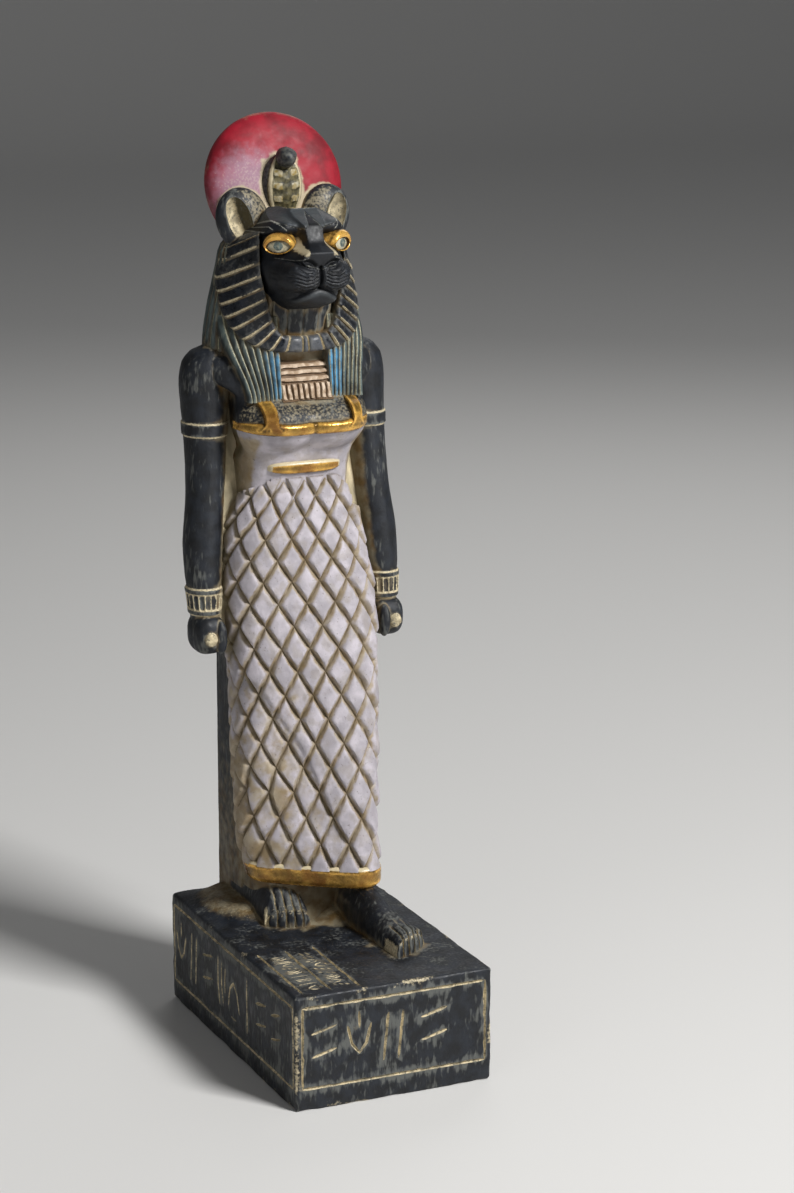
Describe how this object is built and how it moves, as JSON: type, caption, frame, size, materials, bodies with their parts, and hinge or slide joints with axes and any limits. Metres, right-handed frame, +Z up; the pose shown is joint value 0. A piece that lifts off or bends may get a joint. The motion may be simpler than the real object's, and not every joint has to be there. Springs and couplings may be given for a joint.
{
  "type": "lion-headed goddess statuette",
  "caption": "Standing lion-headed goddess with sun disc, net-patterned dress and back pillar on an oblong plinth, cast in one piece and painted.",
  "frame": {"origin": "middle of the plinth's underside", "axes": "+Z up, the figure faces -Y, its own left side is +X"},
  "size_m": [0.0816, 0.121, 0.3294],
  "materials": {
    "painted_stone": "cast stone painted blue-black, with a white and cream net dress, gold bands and a red disc, scuffed and washed with ochre"
  },
  "bodies": {
    "root": {"statue": "painted_stone"}
  },
  "joints": []
}
